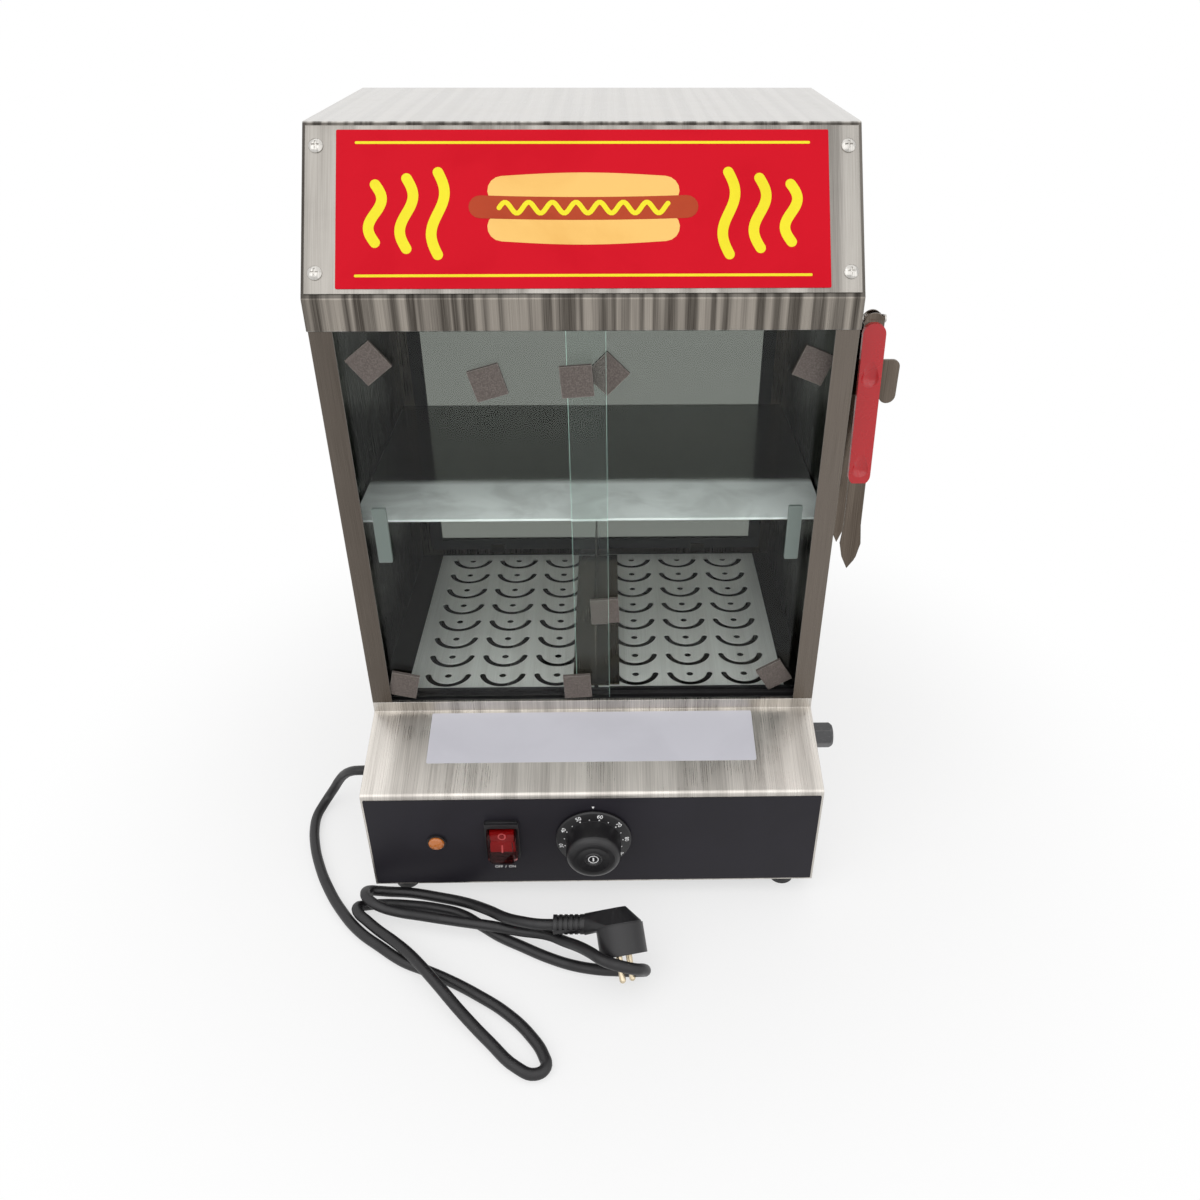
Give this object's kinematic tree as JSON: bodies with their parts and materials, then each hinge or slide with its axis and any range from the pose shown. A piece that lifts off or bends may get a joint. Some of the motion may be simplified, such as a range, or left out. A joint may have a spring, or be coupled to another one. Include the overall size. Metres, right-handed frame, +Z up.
{
  "type": "hot dog steamer",
  "caption": "Counter-top hot dog steamer: steel cabinet with a sloped sign hood, sliding glass doors, a shelf, pierced trays over a heated water tank, tongs on the side and a corded plug.",
  "frame": {"origin": "centre of the bottom of the object without its power cord, on the counter", "axes": "+X to the user's right, +Y from the front face to the back, +Z up"},
  "size_m": [0.4752, 0.4952, 0.57],
  "materials": {
    "brushed_steel": "brushed",
    "inner_steel": "brushed, in the cabinet",
    "polished_steel": "polished",
    "sign_red": "printed film, gloss",
    "overlay_black": "printed film, satin",
    "track_black": "satin",
    "glass": "clear float glass",
    "pull_clear": "frosted",
    "pad_cork": "matte",
    "seal_rubber": "matte",
    "rubber": "matte",
    "tray_steel": "bright",
    "element_steel": "dull",
    "brass": "satin",
    "copper": "satin",
    "dial_black": "satin",
    "switch_black": "satin",
    "switch_red": "gloss",
    "cover_clear": "clear, soft",
    "lamp_amber": "clear amber",
    "terminal_ivory": "matte",
    "cap_grey": "satin",
    "grip_red": "gloss",
    "pin_metal": "plated"
  },
  "bodies": {
    "cabinet": {"base_pan": "inner_steel", "front_shell": "brushed_steel", "left_side_panel": "brushed_steel", "right_side_panel": "brushed_steel", "back_frame": "brushed_steel", "hood_shell": "brushed_steel", "sign_plate": "brushed_steel", "sign_print": "sign_red", "sign_screws": "polished_steel", "control_overlay": "overlay_black", "door_header": "inner_steel", "upper_door_track": "track_black", "lower_door_track": "track_black", "back_window": "glass", "back_window_seal": "seal_rubber", "back_window_clips": "inner_steel", "left_shelf_ledge": "inner_steel", "right_shelf_ledge": "inner_steel", "water_tank": "inner_steel", "tray_frame": "inner_steel", "heating_element": "element_steel", "element_bushings": "brass", "thermostat": "switch_black", "thermostat_bulb": "copper", "switch_body": "switch_black", "switch_cover": "cover_clear", "pilot_lamp": "switch_black", "pilot_lens": "lamp_amber", "terminal_block": "terminal_ivory", "drain_pipe": "element_steel", "drain_locknut": "rubber", "front_left_foot": "rubber", "front_right_foot": "rubber", "back_left_foot": "rubber", "back_right_foot": "rubber", "tongs_holder": "inner_steel", "holder_rivets": "polished_steel", "cord_gland": "rubber", "power_cord": "rubber", "plug_body": "rubber", "plug_pins": "pin_metal"},
    "left_door": {"left_door_glass": "glass", "left_door_pull": "pull_clear", "left_door_pads": "pad_cork"},
    "right_door": {"right_door_glass": "glass", "right_door_pull": "pull_clear", "right_door_pads": "pad_cork"},
    "shelf_board": {"shelf": "polished_steel"},
    "left_tray_body": {"left_tray": "tray_steel"},
    "right_tray_body": {"right_tray": "tray_steel"},
    "divider_body": {"divider": "inner_steel"},
    "dial": {"temperature_dial": "dial_black", "thermostat_shaft": "polished_steel"},
    "rocker": {"switch_rocker": "switch_red"},
    "cap": {"drain_cap": "cap_grey"},
    "tongs_front": {"tongs_front_arm": "polished_steel", "tongs_front_grip": "grip_red", "tongs_hinge_pin": "polished_steel"},
    "tongs_back": {"tongs_back_arm": "polished_steel", "tongs_back_grip": "grip_red"}
  },
  "joints": [
    {"name": "left_door_slide", "type": "slide", "parent": "cabinet", "child": "left_door", "axis": [1, 0, 0], "range_m": [0, 0.15]},
    {"name": "right_door_slide", "type": "slide", "parent": "cabinet", "child": "right_door", "axis": [-1, 0, 0], "range_m": [0, 0.15]},
    {"name": "shelf_lift", "type": "slide", "parent": "cabinet", "child": "shelf_board", "axis": [0, 0, 1], "range_m": [0, 0.06]},
    {"name": "left_tray_lift", "type": "slide", "parent": "cabinet", "child": "left_tray_body", "axis": [0, 0, 1], "range_m": [0, 0.05]},
    {"name": "right_tray_lift", "type": "slide", "parent": "cabinet", "child": "right_tray_body", "axis": [0, 0, 1], "range_m": [0, 0.05]},
    {"name": "divider_lift", "type": "slide", "parent": "left_tray_body", "child": "divider_body", "axis": [0, 0, 1], "range_m": [0, 0.02]},
    {"name": "dial_turn", "type": "hinge", "parent": "cabinet", "child": "dial", "pos_m": [-0.0195, -0.1625, 0.068], "axis": [0, 1, 0], "range_deg": [-163, 102]},
    {"name": "rocker_tilt", "type": "hinge", "parent": "cabinet", "child": "rocker", "pos_m": [-0.092, -0.1505, 0.068], "axis": [1, 0, 0], "range_deg": [0, 20]},
    {"name": "drain_cap_turn", "type": "hinge", "parent": "cabinet", "child": "cap", "pos_m": [0.1755, -0.0555, 0.0877], "axis": [1, 0, 0], "range_deg": [0, 720]},
    {"name": "tongs_lift", "type": "slide", "parent": "cabinet", "child": "tongs_front", "axis": [0, 0, 1], "range_m": [0, 0.06]},
    {"name": "tongs_open", "type": "hinge", "parent": "tongs_front", "child": "tongs_back", "pos_m": [0.1765, -0.046, 0.452], "axis": [1, 0, 0], "range_deg": [0, 18]}
  ],
  "couplings": [
    {"joint": "right_tray_lift", "follows": "left_tray_lift", "ratio": 1}
  ]
}
